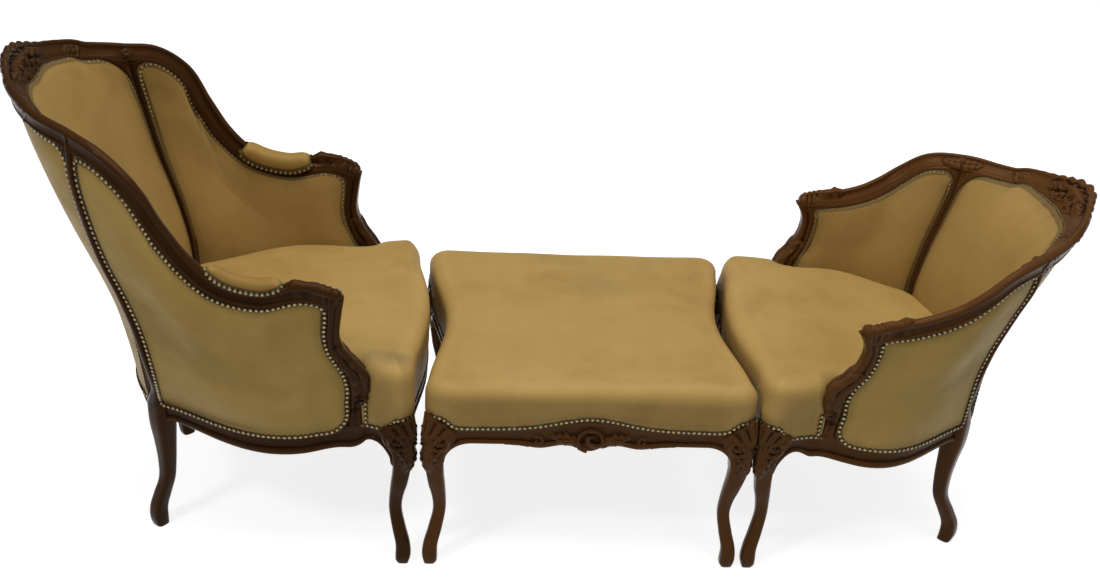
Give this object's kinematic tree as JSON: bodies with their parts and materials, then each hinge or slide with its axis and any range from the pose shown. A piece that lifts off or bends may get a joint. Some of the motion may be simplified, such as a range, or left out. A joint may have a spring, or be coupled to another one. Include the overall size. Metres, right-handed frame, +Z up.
{
  "type": "duchesse brisee",
  "caption": "Duchesse brisee: a tall bergere, a stool and a lower bergere standing end to end as a day bed, with carved wooden frames and nailed leather upholstery.",
  "frame": {"origin": "middle of the floor rectangle under the three sections", "axes": "+X along the row from the tall bergere past the stool to the lower bergere, +Y to the back of the picture, +Z up"},
  "size_m": [2.2572, 0.6662, 1.0267],
  "materials": {
    "walnut": "dark waxed walnut with reddish brown highlights, carved and moulded",
    "leather": "mustard tan hide, lightly creased and stained, nailed with antique brass dome nails",
    "stuffing": "horsehair and tow under the leather, unseen",
    "webbing": "crossed jute straps under the seat",
    "nails": "antique brass dome nails, dark round their rims"
  },
  "bodies": {
    "stool": {"stool_back_left_leg": "walnut", "stool_back_rail": "walnut", "stool_back_right_leg": "walnut", "stool_front_left_leg": "walnut", "stool_front_rail": "walnut", "stool_front_right_leg": "walnut", "stool_left_rail": "walnut", "stool_right_rail": "walnut", "stool_seat_cover": "leather", "stool_seat_stuffing": "stuffing", "stool_seat_webbing": "webbing"},
    "large_bergere": {"large_arm_pad_left": "leather", "large_arm_pad_right": "leather", "large_arm_post_left": "walnut", "large_arm_post_right": "walnut", "large_arm_rail_left": "walnut", "large_arm_rail_right": "walnut", "large_back_rail": "walnut", "large_crest_rail": "walnut", "large_front_leg_left": "walnut", "large_front_leg_right": "walnut", "large_front_rail": "walnut", "large_inside_back_pad": "leather", "large_inside_side_pad_left": "leather", "large_inside_side_pad_right": "leather", "large_outside_back_panel": "leather", "large_outside_side_panel_left": "leather", "large_outside_side_panel_right": "leather", "large_rear_post_left": "walnut", "large_rear_post_right": "walnut", "large_seat_cover": "leather", "large_seat_stuffing": "stuffing", "large_seat_webbing": "webbing", "large_side_rail_left": "walnut", "large_side_rail_right": "walnut"},
    "small_bergere": {"small_arm_post_left": "walnut", "small_arm_post_right": "walnut", "small_arm_rail_left": "walnut", "small_arm_rail_right": "walnut", "small_back_rail": "walnut", "small_crest_rail": "walnut", "small_front_leg_left": "walnut", "small_front_leg_right": "walnut", "small_front_rail": "walnut", "small_inside_back_pad": "leather", "small_inside_side_pad_left": "leather", "small_inside_side_pad_right": "leather", "small_outside_back_panel": "leather", "small_outside_side_panel_left": "leather", "small_outside_side_panel_right": "leather", "small_rear_post_left": "walnut", "small_rear_post_right": "walnut", "small_seat_cover": "leather", "small_seat_stuffing": "stuffing", "small_seat_webbing": "webbing", "small_side_rail_left": "walnut", "small_side_rail_right": "walnut"}
  },
  "joints": [
    {"name": "large_bergere_pull", "type": "slide", "parent": "stool", "child": "large_bergere", "axis": [-1, 0, 0], "range_m": [0, 0.5]},
    {"name": "small_bergere_pull", "type": "slide", "parent": "stool", "child": "small_bergere", "axis": [1, 0, 0], "range_m": [0, 0.5]}
  ]
}
